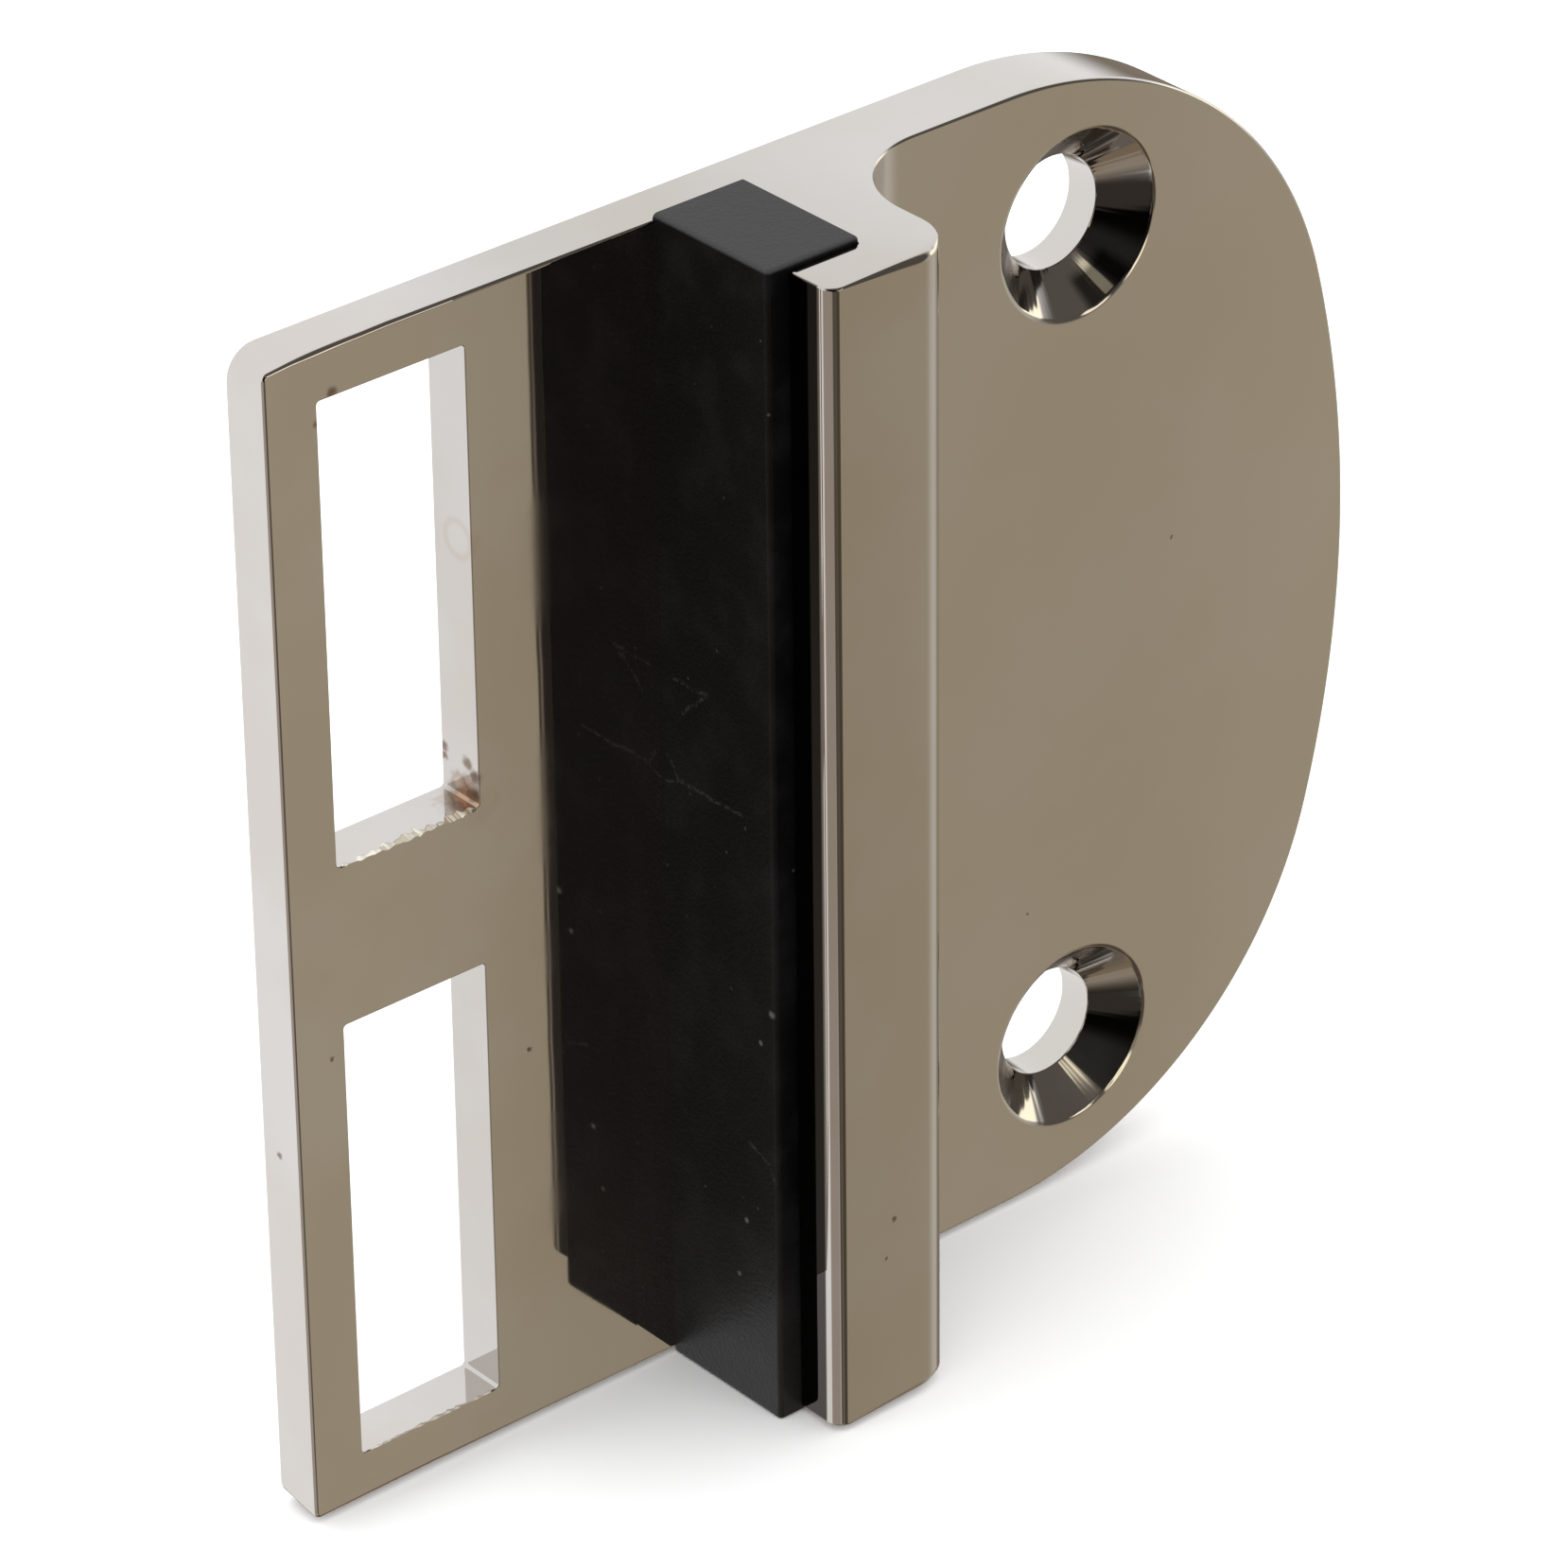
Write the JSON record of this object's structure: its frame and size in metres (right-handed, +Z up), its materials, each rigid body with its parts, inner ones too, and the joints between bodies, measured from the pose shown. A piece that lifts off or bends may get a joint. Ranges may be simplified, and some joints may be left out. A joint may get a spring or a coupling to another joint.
{
  "type": "door strike plate",
  "caption": "Door strike plate with bolt openings, countersunk screw holes in a round end, and a hooked rib that holds a rubber door buffer.",
  "frame": {"origin": "midway between the two screw holes, on the flat face that meets the jamb", "axes": "+X along the plate from the bolt openings to the round end, +Y out of the back into the jamb, +Z up the jamb"},
  "size_m": [0.0642, 0.0133, 0.061],
  "materials": {
    "polished_nickel": "mirror-polished nickel plate on brass",
    "black_rubber": "matte extruded rubber"
  },
  "bodies": {
    "root": {"strike_body": "polished_nickel", "buffer_strip": "black_rubber"}
  },
  "joints": []
}
